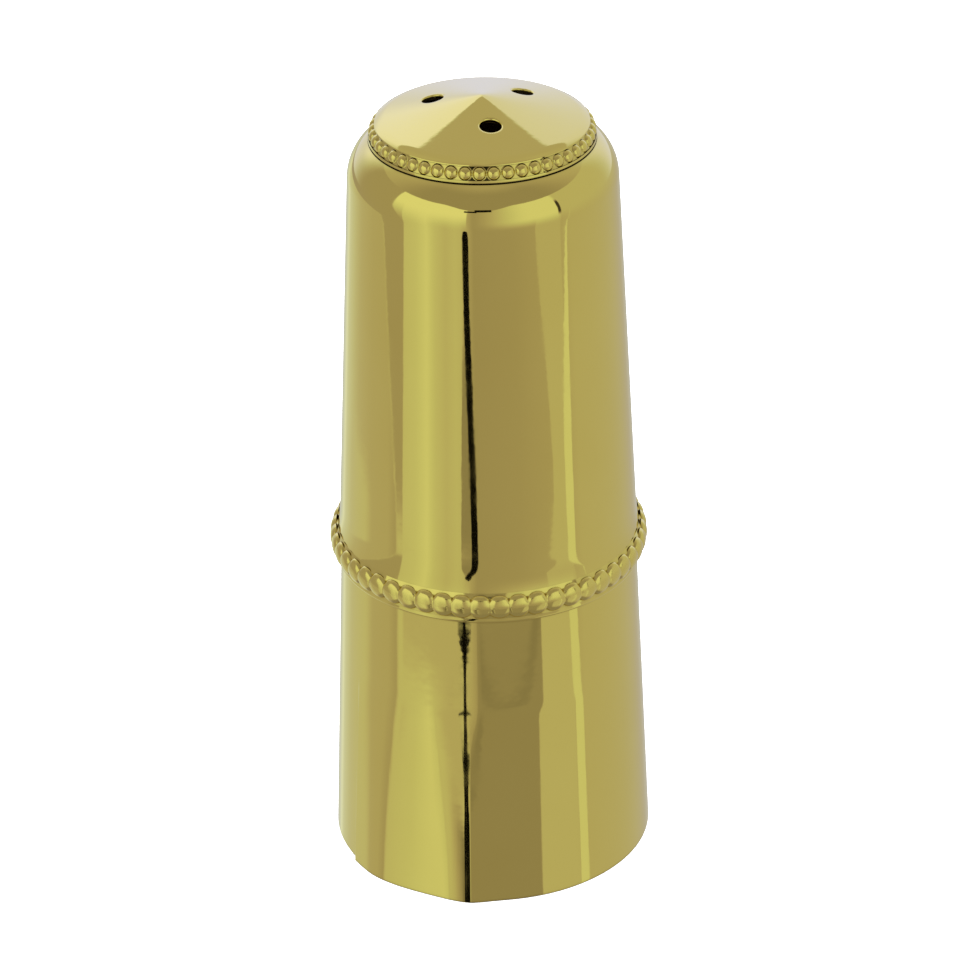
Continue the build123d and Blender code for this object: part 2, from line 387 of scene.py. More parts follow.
inner_shade_brass = raw_brass_painted_shade()
GOLD = (0.87, 0.735, 0.195)
# Each brass gets painted shade in its crevices; the mouth beads get a softer one
cap_brass = brass("cap_brass", GOLD, 0.022, 0.05, 1.0)
bead_brass = brass("bead_brass", GOLD, 0.04, 0.05, 2.0)
mouth_brass = brass("mouth_bead_brass", GOLD, 0.13, 0.06, 6.0, SOFT_CREVICE_SHADE)
band_brass = brass("band_brass", GOLD, 0.022, 0.05, 3.0)
hardware_brass = brass("hardware_brass", GOLD, 0.08, 0.08, 4.0)
screw_brass = brass("screw_brass", GOLD, 0.09, 0.08, 5.0)


# ------------------------------------------------------------ cap shell
def mouth_outline():
    """The mouth, from the ledge inside round the rolled lip and up to the shelf."""
    ledge, inner = (MOUTH_INNER, LEDGE_HEIGHT), (MOUTH_INNER, MOUTH_BOTTOM)
    lip = (MOUTH_LIP_RADIUS, MOUTH_BOTTOM)
    outer = (MOUTH_OUTER, MOUTH_BOTTOM + MOUTH_LIP_HEIGHT)
    shelf, flare = (MOUTH_OUTER, FLARE_SHELF), (FLARE_RADIUS, FLARE_BOTTOM)
    outline = line_points(ledge, (MOUTH_INNER, MOUTH_BOTTOM + 0.2), 6)
    outline += round_corner(ledge, inner, lip, MOUTH_INNER_ROUNDING)
    outline += round_corner(inner, lip, outer, MOUTH_LIP_ROUNDING, 8)
    outline += line_points(outer, (MOUTH_OUTER, FLARE_BOTTOM - 0.45), 10)
    outline += round_corner((MOUTH_OUTER, MOUTH_BOTTOM), shelf, flare, 0.06)
    outline += round_corner(shelf, flare, (FLARE_RADIUS - 0.05, FLARE_BOTTOM + 0.4), 0.03)
    return outline


def sweep_outline(top_radius):
    """The wall's gentle flare, from the shelf up to where the wall is straight."""
    outline = []
    for i in range(1, SWEEP_STEPS):
        down = 1 - i / SWEEP_STEPS
        radius = top_radius + CAP_TAPER * down * (SWEEP_TOP - FLARE_BOTTOM)
        swell = (FLARE_RADIUS - BODY_RADIUS - CAP_TAPER * (FLARE_TOP - FLARE_BOTTOM)) * down ** 3
        outline.append((radius + swell, SWEEP_TOP - down * (SWEEP_TOP - FLARE_BOTTOM)))
    return outline


def shoulder_outline():
    """The straight wall's top, the rounded shoulder and the seat down to the spigot's hole."""
    shoulder, seat = (SHOULDER_RADIUS, SHOULDER_BOTTOM), (SEAT_RADIUS, SEAT_HEIGHT)
    hole = (SPIGOT_HOLE, SEAT_HEIGHT)
    outline = arc_points(shoulder, seat, (-CAP_TAPER, 1.0), 28)
    outline += line_points(seat, hole, 4)
    outline += line_points(hole, (SPIGOT_HOLE, SEAT_HEIGHT - SEAT_THICKNESS), 3)
    return outline


def inside_outline():
    """The inside of the shoulder and wall, down to the ledge."""
    shoulder = (SHOULDER_RADIUS - WALL, SHOULDER_BOTTOM)
    hole = (SPIGOT_HOLE, SEAT_HEIGHT - SEAT_THICKNESS)
    ledge = (BODY_RADIUS + CAP_TAPER * (FLARE_TOP - LEDGE_HEIGHT) - WALL, LEDGE_HEIGHT)
    outline = [hole] + arc_points(shoulder, hole, (-CAP_TAPER, 1.0), 20)[::-1]
    return outline + line_points(shoulder, ledge, 30)[1:] + [ledge]


def inside_shell(centre, normal):
    """True for a face of the shell left unpolished and dark with painted shade: the inside, the
    seat under the crown's gap and the ledge.
    """
    ledge = normal.z < -0.5 and centre.z > MOUTH_BOTTOM + 1
    return faces_axis(centre, normal) or centre.z > SEAT_HEIGHT - 0.01 or ledge


def cap_shell_piece():
    """The cap's wall, turned in one piece."""
    top_radius = BODY_RADIUS - CAP_TAPER * (SWEEP_TOP - FLARE_TOP)
    wall = line_points((top_radius, SWEEP_TOP), (SHOULDER_RADIUS, SHOULDER_BOTTOM), 40)
    outline = mouth_outline() + sweep_outline(top_radius) + wall
    outline += shoulder_outline() + inside_outline()
    piece = lathe("cap_body", outline, cap_brass, CAP_SEGMENTS)
    mark_creases(piece, 28)
    dull_shaded_inside(piece, inside_shell)
    return piece


shell = cap_shell_piece()
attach(shell, "cap")
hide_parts("cap_shell")


# ------------------------------------------------------------ cap crown
def crown_surface(radius):
    """Height of the crown's top at a distance from the axis: a cone with a soft point."""
    run = math.hypot(radius, CROWN_SOFTNESS) - CROWN_SOFTNESS
    return CROWN_POINT - CROWN_SLOPE * run - 0.02


def crown_side_outline():
    """The crown's side, from the cone's edge over the lip, strip and spigot to the inside."""
    top, foot = Vector(STRIP_TOP), Vector(STRIP_FOOT)
    inward = STRIP_DEPTH * STRIP_OUT
    cone_edge, lip = (CONE_EDGE, crown_surface(CONE_EDGE)), (LIP_RADIUS, LIP_HEIGHT)
    margin = (SEAT_RADIUS, MARGIN_HEIGHT)
    undercut = (SEAT_RADIUS - CROWN_UNDERCUT, MARGIN_HEIGHT)
    spigot_end = SEAT_HEIGHT - SPIGOT_LENGTH
    outline = arc_points(cone_edge, lip, (1.0, -CROWN_SLOPE), 14)
    outline += round_corner((LIP_RADIUS - 0.1, LIP_HEIGHT + 0.08), lip, STRIP_TOP, 0.03)
    outline += [tuple(top), tuple(top - inward)]
    outline += line_points(tuple(top - inward), tuple(foot - inward), 6)[1:]
    outline += [tuple(foot - inward), tuple(foot)]
    outline += round_corner(STRIP_FOOT, margin, undercut, 0.04)
    outline += [undercut, (SEAT_RADIUS - CROWN_UNDERCUT, SEAT_HEIGHT)]
    outline += [(SPIGOT_RADIUS, SEAT_HEIGHT), (SPIGOT_RADIUS, spigot_end)]
    outline += [(SPIGOT_INNER, spigot_end)]
    ceiling = (SPIGOT_INNER, crown_surface(SPIGOT_INNER) - CROWN_WALL)
    return outline + line_points((SPIGOT_INNER, SEAT_HEIGHT - 0.95), ceiling, 3)


class FlatSheet:
    """Points laid out flat, each lifted onto the crown's face or its underside."""

    def __init__(self, vertices, drop):
        self.vertices, self.drop = vertices, drop
        self.flat, self.index = [], []

    def lift(self, p, fall=0.0):
        """Makes the vertex over a flat point."""
        self.vertices.append((p.x, p.y, crown_surface(p.length) - self.drop - fall))
        return len(self.vertices) - 1

    def add(self, p):
        """Makes the vertex over a flat point and keeps both for the mesh."""
        self.flat.append(p)
        self.index.append(self.lift(p))
        return self.index[-1]


def vent_centres():
    """Flat centres of the vents."""
    shift = Vector((0.0, VENT_SHIFT, 0.0))
    bearings = [VENT_BEARING + 360 / VENT_COUNT * k for k in range(VENT_COUNT)]
    return [(heading(bearing) * VENT_CIRCLE + shift).to_2d() for bearing in bearings]


def circle_points(centre, radius, count, turn=0.0):
    """Points of a flat circle; turn is counted in steps between points."""
    angles = [2 * math.pi * (i + turn) / count for i in range(count)]
    return [centre + Vector((math.cos(a), math.sin(a))) * radius for a in angles]


def add_vent(sheet, centre, edges):
    """Rings of points round a vent's edge. Returns the vertices of the edge itself."""
    base = len(sheet.flat)
    edge_radius = VENT_RADIUS + VENT_EDGE
    ring = [sheet.add(p) for p in circle_points(centre, edge_radius, VENT_POINTS)]
    edges += [(base + i, base + (i + 1) % VENT_POINTS) for i in range(VENT_POINTS)]
    for halo in VENT_HALOS:
        for p in circle_points(centre, edge_radius + halo, VENT_POINTS, 0.5):
            sheet.add(p)
    return ring


def fill_between(sheet, radius, vents):
    """Rings of points over the rest of the disc, kept off the vents."""
    step = CROWN_MESH_STEP
    clear = VENT_RADIUS + VENT_EDGE + VENT_CLEARANCE
    r = radius - step
    while r > 0:
        count = max(6, min(CROWN_SEGMENTS, int(2 * math.pi * r / step)))
        for i in range(count):
            angle = 2 * math.pi * (i + 0.5 * (int(r / step) % 2)) / count
            p = Vector((r * math.cos(angle), r * math.sin(angle)))
            if all((p - vent).length > clear for vent in vents):
                sheet.add(p)
        r -= step
    sheet.add(Vector((0.0, 0.0)))


def vent_wall(sheet, centre, ring, faces):
    """Rounds a vent's edge over, and returns its inmost ring."""
    side = 1.0 if sheet.drop == 0.0 else -1.0
    for out, fall in VENT_BEVEL[1:]:
        points = circle_points(centre, VENT_RADIUS + out, VENT_POINTS)
        lower = [sheet.lift(p, fall * side) for p in points]
        for i in range(VENT_POINTS):
            j = (i + 1) % VENT_POINTS
            faces.append((ring[i], ring[j], lower[j], lower[i]))
        ring = lower
    return ring


def pierced_disc(radius, rim_ring, vertices, faces, drop):
    """Fills the disc inside rim_ring but for the vents. Returns each vent's inmost ring."""
    sheet = FlatSheet(vertices, drop)
    for v in rim_ring:
        sheet.flat.append(Vector(vertices[v][:2]))
        sheet.index.append(v)
    edges = [(i, (i + 1) % len(rim_ring)) for i in range(len(rim_ring))]
    vents = vent_centres()
    rings = [add_vent(sheet, centre, edges) for centre in vents]
    fill_between(sheet, radius, vents)
    points, _, triangles, origin, _, _ = delaunay_2d_cdt(sheet.flat, edges, [], 1, 1e-6)
    for triangle in triangles:
        middle = sum((Vector(points[i]) for i in triangle), Vector((0.0, 0.0))) / len(triangle)
        if all((middle - vent).length >= VENT_RADIUS + VENT_EDGE * 0.9 for vent in vents):
            faces.append(tuple(sheet.index[origin[i][0]] for i in triangle))
    return [vent_wall(sheet, centre, ring, faces) for centre, ring in zip(vents, rings)]


def inside_crown(centre, normal):
    """True for a face of the crown that stays raw and dark with painted shade: its underside, its
    spigot and the vents.
    """
    radius = math.hypot(centre.x, centre.y)
    vent = faces_axis(centre, normal) and centre.z < crown_surface(radius) - 0.2
    return normal.z < -0.4 or centre.z < MARGIN_HEIGHT - 0.001 or vent


def crown_piece():
    """The pressed crown: its side is turned, its top and underside are pierced by the vents."""
    outline = crown_side_outline()
    count = len(outline)
    vertices = turned_vertices(outline, CROWN_SEGMENTS)
    faces = turned_faces(count, CROWN_SEGMENTS, count - 1)
    rim_ring = [i * count for i in range(CROWN_SEGMENTS)]
    upper = pierced_disc(CONE_EDGE, rim_ring, vertices, faces, 0.0)
    start = len(vertices)
    ceiling = crown_surface(SPIGOT_INNER) - CROWN_WALL
    vertices += turned_vertices([(SPIGOT_INNER, ceiling)], CROWN_SEGMENTS)
    for i in range(CROWN_SEGMENTS):
        j = (i + 1) % CROWN_SEGMENTS
        faces.append(((i + 1) * count - 1, (j + 1) * count - 1, start + j, start + i))
    inner_ring = [start + i for i in range(CROWN_SEGMENTS)]
    lower = pierced_disc(SPIGOT_INNER, inner_ring, vertices, faces, CROWN_WALL)
    for above, below in zip(upper, lower):
        for i in range(VENT_POINTS):
            j = (i + 1) % VENT_POINTS
            faces.append((above[i], above[j], below[j], below[i]))
    piece = make_object("crown", vertices, faces, cap_brass)
    fix_normals(piece)
    mark_creases(piece, 32)
    dull_shaded_inside(piece, inside_crown)
    return piece


crown = crown_piece()
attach(crown, "cap")
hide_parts("cap_crown")


# ------------------------------------------------------------ bead rings
def relief_ring(name, count, outline_at, material):
    """A ring whose closed section, outline_at(share), repeats count times round the axis."""
    vertices = []
    total = count * PEARL_COLUMNS
    for i in range(total):
        angle = 2 * math.pi * i / total
        outline = outline_at((i % PEARL_COLUMNS) / PEARL_COLUMNS * 2 - 1)
        vertices += [(r * math.cos(angle), r * math.sin(angle), z) for r, z in outline]
    rows = len(outline)
    piece = make_object(name, vertices, turned_faces(rows, total, rows), material)
    fix_normals(piece)
    mark_creases(piece, 50)
    return piece


def crown_pearl_outline(share):
    """Pearls raised on the strip under the crown's lip; share runs from -1 to 1 across one."""
    rows, steep = 26, 0.97
    flat = math.sqrt(1 - steep)
    front = []
    for j in range(rows + 1):
        t = j / rows
        across = (2 * t - 1) / 0.95
        spread = (share / 0.93) ** 2 + across ** 2
        dome = 0.0
        if spread < 1:
            dome = (math.sqrt(max(1 - steep * spread, 0.0)) - flat) / (1 - flat)
        rise = CROWN_PEARL_RISE * dome - STRIP_DEPTH + 0.02
        p = Vector(STRIP_TOP) + STRIP_RUN * (0.015 + 0.97 * t) + STRIP_OUT * rise
        front.append((p.x, p.y))
    floor_level = STRIP_OUT * (0.01 - STRIP_DEPTH)
    back = [Vector(STRIP_TOP) + STRIP_RUN * t + floor_level for t in (0.985, 0.015)]
    return front + [(p.x, p.y) for p in back]


def mouth_pearl_outline(share):
    """Plump pearls rolled into the mouth: they touch at the middle and part above and below."""
    rows = 30
    front = []
    for j in range(rows + 1):
        angle = math.radians(-MOUTH_PEARL_ARC + 2 * MOUTH_PEARL_ARC * j / rows)
        pinch = 0.17 + 0.2 * math.sin(angle) ** 2
        size = 1 - pinch * abs(share) ** 2.6
        front.append((MOUTH_PEARL_CENTRE + MOUTH_PEARL_WIDTH * size * math.cos(angle),
                      MOUTH_PEARL_HEIGHT + MOUTH_PEARL_RISE * size * math.sin(angle)))
    back = MOUTH_OUTER - 0.02
    return front + [(back, front[-1][1]), (back, front[0][1])]


crown_beads = relief_ring("crown_beads", CROWN_BEAD_COUNT, crown_pearl_outline, bead_brass)
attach(crown_beads, "cap")
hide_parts("crown_bead_ring")

mouth_beads = relief_ring("mouth_beads", MOUTH_BEAD_COUNT, mouth_pearl_outline, mouth_brass)
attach(mouth_beads, "cap")
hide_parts("mouth_bead_ring")


# --------------------------------------------------------- ligature band
# The hand-formed rim: bearing, and how far the outer face stands off the true circle there.
RIM_SHAPE = (
    (-180, 0.0), (-110, 0.0), (-80, -0.01), (-66, -0.04), (-55, 0.0), (-48, 0.08), (-40, 0.02),
    (-31, -0.05), (-22, 0.0), (-15, 0.18), (-11.4, 0.27), (-10.7, 0.282), (-9.5, 0.281),
    (-8.8, 0.284), (-8.2, 0.284), (-7.8, 0.268), (-7.2, 0.238), (-5, 0.12), (0, -0.14), (6, -0.26),
    (20, -0.30), (42, -0.24), (64, -0.08), (84, 0.0), (120, 0.0), (180, 0.0),
)


def curve_slope(points, k):
    """Slope of the curve at its point k, level at both ends."""
    if k <= 0 or k >= len(points) - 1:
        return 0.0
    return (points[k + 1][1] - points[k - 1][1]) / (points[k + 1][0] - points[k - 1][0])


def smooth_curve(points, x):
    """Value at x of a smooth curve through the points (a Catmull-Rom curve)."""
    i = next(k for k in range(len(points) - 1) if points[k][0] <= x <= points[k + 1][0])
    (x0, y0), (x1, y1) = points[i], points[i + 1]
    span = x1 - x0
    t = (x - x0) / span
    a = y0 * (1 + 2 * t) * (1 - t) ** 2 + curve_slope(points, i) * span * t * (1 - t) ** 2
    return a + y1 * t * t * (3 - 2 * t) + curve_slope(points, i + 1) * span * t * t * (t - 1)


def channel_step(bearing):
    """The crisp side of the reed channel, 1 on the channel and 0 outside it."""
    t = (bearing - (REED_BEARING - REED_HALF_ANGLE) + 0.7) / 0.7
    t = max(0.0, min(1.0, t))
    u = max(0.0, min(1.0, (bearing - REED_BEARING + 18) / 30))
    return t * t * (3 - 2 * t) * (1 - u * u * (3 - 2 * u))


def channel_fade(height):
    """The reed channel is deepest at the bottom rim and fades out upwards."""
    t = max(0.0, 1 - height / REED_CHANNEL_HEIGHT)
    return t * (2 - t) * 0.5 + t * 0.5


def band_offset(bearing, height):
    """How far the outer face stands off the cone."""
    step = REED_STEP_RISE * channel_step(bearing)
    return channel_fade(height) * (smooth_curve(RIM_SHAPE, bearing) + step)


def band_point(bearing, height, inside):
    """A point of the band's outer or inner face, in millimetres."""
    turned = (bearing + 180) % 360 - 180
    follow = BAND_INSIDE_FOLLOW if inside else 1.0
    radius = RIM_RADIUS - BAND_TAPER * height + band_offset(turned, height) * follow
    if inside:
        radius -= WALL
    return heading(bearing) * radius + Vector((0.0, 0.0, height))


def slit_half_angle(height):
    """Half the slit's width as an angle, wider where the sheet's corners are rounded."""
    half = SLIT_WIDTH / 2
    from_end = min(height, BAND_HEIGHT - height)
    if from_end < SLIT_CORNER:
        half += corner_inset(SLIT_CORNER, from_end)
    return math.degrees(math.asin(half / (RIM_RADIUS - BAND_TAPER * height)))


def corner_inset(radius, from_end):
    """How far a rounded corner has cut in at a distance from the sheet's end."""
    return radius - math.sqrt(max(radius ** 2 - (radius - from_end) ** 2, 0.0))


def band_heights():
    """Heights of the band's rows, close together at both rims."""
    heights = [BAND_BEVEL * (1 - math.cos(math.pi / 2 * i / 4)) for i in range(4)]
    heights += [BAND_BEVEL + (SLIT_CORNER - BAND_BEVEL) * (i / 8) ** 1.5 for i in range(8)]
    rounded = list(heights)
    heights += [SLIT_CORNER + (BAND_HEIGHT - 2 * SLIT_CORNER) * i / 48 for i in range(48)]
    heights += [BAND_HEIGHT - h for h in rounded]
    return sorted(set(round(h, 5) for h in heights))


def band_shares():
    """Where the band's columns stand between the slit's edges, denser at the two creases."""
    shares = [i / 640 for i in range(641)]
    reed_side = REED_BEARING - REED_HALF_ANGLE
    steps = (-0.9, -0.7, -0.6, -0.5, -0.4, -0.3, -0.2, -0.1, 0.0, 0.2, 0.5)
    sharp = [reed_side + step for step in steps]
    sharp += [FRONT_CREASE + 0.18 * k for k in range(-14, 15)]
    span = 360 - 2 * slit_half_angle(BAND_HEIGHT / 2)
    shares += [0.5 + (bearing - (SLIT_BEARING - 180)) / span for bearing in sharp]
    return sorted(shares)


def band_vertices(heights, shares):
    """Points of the outer face and then the inner face, row by row."""
    vertices = []
    for height in heights:
        span = 360 - 2 * slit_half_angle(height)
        from_end = min(height, BAND_HEIGHT - height)
        inset = 0.0 if from_end >= BAND_BEVEL else corner_inset(BAND_BEVEL, from_end)
        for inside in (False, True):
            for share in shares:
                bearing = SLIT_BEARING - 180 + (share - 0.5) * span
                p = band_point(bearing, height, inside)
                p += heading(bearing) * (inset if inside else -inset)
                vertices.append(tuple(p))
    return vertices


def band_faces(rows, columns):
    """Faces of both sides, the slit's two edges and the two rims."""
    def at(row, inside, column):
        """Number of a point on the outer (0) or inner (1) face."""
        return row * 2 * columns + inside * columns + column

    faces = []
    for row in range(rows - 1):
        up = row + 1
        for c in range(columns - 1):
            faces.append((at(row, 0, c), at(row, 0, c + 1), at(up, 0, c + 1), at(up, 0, c)))
            faces.append((at(row, 1, c), at(up, 1, c), at(up, 1, c + 1), at(row, 1, c + 1)))
        for c in (0, columns - 1):
            faces.append((at(row, 0, c), at(up, 0, c), at(up, 1, c), at(row, 1, c)))
    for row in (0, rows - 1):
        for c in range(columns - 1):
            faces.append((at(row, 0, c), at(row, 1, c), at(row, 1, c + 1), at(row, 0, c + 1)))
    return faces


def band_piece():
    """The split band of sheet brass."""
    heights, shares = band_heights(), band_shares()
    faces = band_faces(len(heights), len(shares))
    piece = make_object("band", band_vertices(heights, shares), faces, band_brass)
    fix_normals(piece)
    mark_creases(piece, 50)
    dull_shaded_inside(piece, faces_axis)
    return piece


band = band_piece()
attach(band, "ligature")
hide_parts("ligature_band")

# ------------------------------------------------- posts, screws, plates
for node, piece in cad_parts.items():
    for word, material in (("post", hardware_brass), ("thumb", screw_brass)):
        if word in node:
            piece.data.materials.clear()
            piece.data.materials.append(material)


# ----------------------------------------------------------------- stage
# Light level all round, before any layer is laid over it: bearing in degrees, radiance.
RING = (
    (-180, 0.50), (-168, 0.58), (-160, 0.68), (-152, 0.84), (-146, 0.70), (-136, 0.64),
    (-122, 0.52), (-104, 0.47), (-84, 0.46), (-76, 0.39), (-74, 0.60), (-58, 0.66),
    (-48, 0.76), (-41, 0.63), (-32, 0.55), (-24, 0.60), (-20, 0.58), (-9, 0.35),
    (24, 0.37), (36, 0.39), (60, 0.42), (76, 0.50), (110, 0.51), (130, 0.51),
    (150, 0.48), (162, 0.52), (170, 0.52), (180, 0.50),
)
WARM_TINT = (1.10, 1.0, 1.04)
GREEN_TINT = (0.93, 1.0, 0.90)
BLUE_TINT = (0.95, 1.0, 1.48)
FLOOR_RADIUS = 12.0          # metres


class LightNodes:
    """Small helper that writes a world light as layers of masks over direction."""

    def __init__(self, world):
        world.use_nodes = True
        self.nodes, self.links = world.node_tree.nodes, world.node_tree.links
        direction = self.nodes.new("ShaderNodeTexCoord")
        split = self.nodes.new("ShaderNodeSeparateXYZ")
        self.links.new(direction.outputs["Generated"], split.inputs["Vector"])
        x, y, z = (split.outputs[axis] for axis in "XYZ")
        turn = self.maths("ARCTAN2", x, self.maths("MULTIPLY", y, -1.0))
        self.bearing = self.maths("MULTIPLY", turn, 180 / math.pi)
        self.elevation = self.maths("MULTIPLY", self.maths("ARCSINE", z), 180 / math.pi)
        self.light = None

    def put(self, socket, value):
        """Gives a socket a number, or another node's output."""
        if isinstance(value, (int, float)):
            socket.default_value = value
        else:
            self.links.new(value, socket)

    def maths(self, operation, a, b=0.0):
        """One sum on numbers or other nodes' outputs."""
        node = self.nodes.new("ShaderNodeMath")
        node.operation = operation
        self.put(node.inputs[0], a)
        self.put(node.inputs[1], b)
        return node.outputs["Value"]

    def ramp(self, value, start, end, low=0.0, high=1.0):
        """Goes smoothly from low to high as value goes from start to end."""
        node = self.nodes.new("ShaderNodeMapRange")
        node.interpolation_type = "SMOOTHSTEP"
        self.put(node.inputs["Value"], value)
        limits = (("From Min", start), ("From Max", end), ("To Min", low), ("To Max", high))
        for name, level in limits:
            self.put(node.inputs[name], level)
        return node.outputs["Result"]

    def panel(self, value, low, high, soft):
        """1 between low and high, 0 outside, with edges soft degrees wide."""
        rise, fall = (self.soft_edge(value, edge, soft) for edge in (low, high))
        return self.maths("SUBTRACT", rise, fall)

    def soft_edge(self, value, edge, soft):
        """Goes from 0 to 1 across an edge soft degrees wide."""
        start, end = self.maths("ADD", edge, -soft / 2), self.maths("ADD", edge, soft / 2)
        return self.ramp(value, start, end)

    def both(self, a, b):
        """The overlap of two masks."""
        return self.maths("MULTIPLY", a, b)

    def lay(self, mask, radiance):
        """Lays a level of light over what is there already."""
        node = self.nodes.new("ShaderNodeMix")
        self.links.new(mask, node.inputs["Factor"])
        self.links.new(self.light, node.inputs["A"])
        self.put(node.inputs["B"], radiance)
        self.light = node.outputs["Result"]

    def ring(self, stops):
        """Starts with light that depends on bearing only."""
        share = self.maths("MULTIPLY", self.maths("ADD", self.bearing, 180.0), 1 / 360)
        node = self.nodes.new("ShaderNodeValToRGB")
        self.links.new(share, node.inputs["Fac"])
        elements = node.color_ramp.elements
        while len(elements) < len(stops):
            elements.new(0.5)
        for element, (bearing, level) in zip(elements, stops):
            element.position = (bearing + 180) / 360
            element.color = (level, level, level, 1.0)
        self.light = node.outputs["Color"]


def left_fold(w):
    """Left: a darker fold that narrows downwards, with a thin bright hem."""
    across, up = w.bearing, w.elevation
    fold = w.maths("ADD", across, w.maths("MULTIPLY", w.maths("ADD", up, 20.0), 4.6))
    cap_side = w.ramp(up, -25.6, -24.6)
    inside = w.both(w.ramp(fold, -98.5, -97.5), w.ramp(across, -69.0, -70.0))
    w.lay(w.both(cap_side, inside), 0.37)
    w.lay(w.both(cap_side, w.panel(fold, -99.5, -97.5, 1.0)), 0.50)


def right_cloth(w):
    """Right: the cloth's crisp edge leans, and a bright hem beyond it widens downwards."""
    across, up = w.bearing, w.elevation
    lean = w.ramp(up, -20.0, -24.0, 43.0, 52.0)
    lean = w.maths("ADD", lean, w.ramp(up, -24.0, -26.5, 0.0, -13.0))
    lean = w.maths("ADD", lean, w.ramp(up, -27.5, -30.5, 0.0, -3.0))
    w.lay(w.panel(across, lean, 66.0, 1.2), w.ramp(up, -25.0, -20.0, 0.54, 0.51))
    hem = w.maths("ADD", w.ramp(up, -19.0, -24.0, 74.0, 66.0), w.ramp(up, -26.0, -30.0, 0.0, 4.0))
    thick = w.ramp(up, -19.5, -24.0, 0.6, 4.0)
    aside = w.maths("ABSOLUTE", w.maths("SUBTRACT", across, hem))
    mask = w.ramp(aside, thick, w.maths("SUBTRACT", thick, 0.8))
    w.lay(mask, w.ramp(up, -27.0, -24.0, 0.72, 0.74))
    return lean


def front_folds(w, lean):
    """The cloth in front is dimmer low down, with a darker rounded fold."""
    across, up = w.bearing, w.elevation
    low = w.ramp(up, -25.4, -26.2)
    w.lay(w.both(low, w.panel(across, -10.0, lean, 1.2)), 0.295)
    round_x = w.maths("POWER", w.maths("MULTIPLY", w.maths("ADD", across, -12.0), 1 / 26), 2.0)
    round_y = w.maths("POWER", w.maths("MULTIPLY", w.maths("ADD", up, 26.0), 1 / 1.9), 2.0)
    blob = w.panel(w.maths("ADD", round_x, round_y), 0.62, 1.05, 0.3)
    w.lay(w.both(w.both(low, blob), w.panel(across, -8.0, 40.0, 3.0)), 0.245)
    belt = w.both(w.ramp(up, -25.6, -25.9), w.ramp(up, -28.2, -27.0))
    w.lay(w.both(belt, w.panel(across, -70.0, -22.0, 3.0)), 0.50)
    w.lay(w.both(low, w.panel(across, -134.0, -106.0, 12.0)), 0.60)


def bright_lobes(w):
    """Both sides grow brighter towards the horizon, with a dark seam at the right."""
    across, up = w.bearing, w.elevation
    left = w.panel(across, w.ramp(up, -20.0, 6.0, -70.0, -80.0), -14.0, 1.5)
    w.lay(w.both(w.ramp(up, -19.0, 20.0), left), 0.88)
    right = w.both(w.ramp(up, -20.5, 2.0), w.ramp(across, -12.0, 40.0))
    w.lay(right, w.ramp(across, 62.0, 66.0, 0.80, 0.56))
    w.lay(w.both(w.panel(up, -4.0, 22.0, 8.0), w.panel(across, 63.0, 66.0, 1.0)), 0.05)


def cloth_overhead(w):
    """Cloth overhead, dimmer in front, its hem lowest over the camera."""
    across, up = w.bearing, w.elevation
    from_front = w.maths("ABSOLUTE", w.maths("ADD", across, 4.0))
    hem = w.ramp(from_front, 7.0, 34.0, 27.0, 34.5)
    away = w.ramp(w.maths("ABSOLUTE", across), 60.0, 130.0, 0.31, 0.5)
    w.lay(w.ramp(up, hem, w.maths("ADD", hem, 1.2)), away)
    w.lay(w.ramp(up, 60.0, 86.0), 0.42)


def cloth_behind(w):
    """Bright cloth behind, dimmer to the right. Returns the mask of its whitest part."""
    across, up = w.bearing, w.elevation
    behind = w.ramp(w.maths("ABSOLUTE", across), 118.0, 148.0)
    w.lay(w.both(behind, w.panel(up, 43.0, 90.0, 1.5)), 0.46)
    shade = w.both(w.ramp(across, -1.0, 1.0), w.ramp(across, 168.0, 180.0, -0.18, -0.08))
    level = w.maths("ADD", w.ramp(across, -180.0, -168.0, 0.90, 0.98), shade)
    white = w.both(behind, w.panel(up, -6.0, 43.0, 1.5))
    w.lay(white, w.ramp(up, 8.0, 22.0, 0.80, level))
    return white


def dark_gap(w):
    """The gap between the cloths: black, with a dim strip beside it lower down."""
    across, up = w.bearing, w.elevation
    half = w.maths("ADD", w.ramp(up, -17.2, -20.2, 0.0, 2.8), w.ramp(up, -24.9, -25.3, 0.0, -1.4))
    half = w.maths("ADD", half, w.ramp(up, -26.2, -26.4, 0.0, 4.2))
    half = w.maths("SUBTRACT", half, w.ramp(up, -26.4, -27.1, 0.0, 4.2))
    half = w.maths("ADD", half, w.ramp(up, -27.6, -28.2, 0.0, 0.9))
    drift = w.ramp(up, -20.0, -25.0, -15.4, -10.4)
    drift = w.maths("ADD", drift, w.ramp(up, -24.9, -25.3, 0.0, -9.2))
    strip = w.panel(across, w.ramp(up, -20.6, -24.6, -18.0, -21.0), drift, 0.6)
    w.lay(w.both(strip, w.panel(up, -25.0, -21.5, 1.6)), 0.27)
    olive = w.both(w.ramp(up, -27.5, -28.6), w.panel(across, -44.0, drift, 1.0))
    w.lay(olive, w.ramp(across, -42.0, -27.0, 0.60, 0.22))
    aside = w.maths("ABSOLUTE", w.maths("SUBTRACT", across, drift))
    black = w.ramp(aside, half, w.maths("SUBTRACT", half, 0.7))
    w.lay(w.both(black, w.ramp(up, -17.0, -17.3)), 0.004)


def dark_shapes(w):
    """The camera and its stand, and the dim light from below."""
    across, up = w.bearing, w.elevation
    w.lay(w.both(w.panel(across, -8.0, 7.0, 1.0), w.panel(up, 24.6, 29.4, 0.8)), 0.006)
    w.lay(w.both(w.panel(across, -17.0, -6.0, 1.0), w.panel(up, 23.0, 26.2, 0.8)), 0.006)
    w.lay(w.ramp(up, -48.0, -62.0), 0.26)


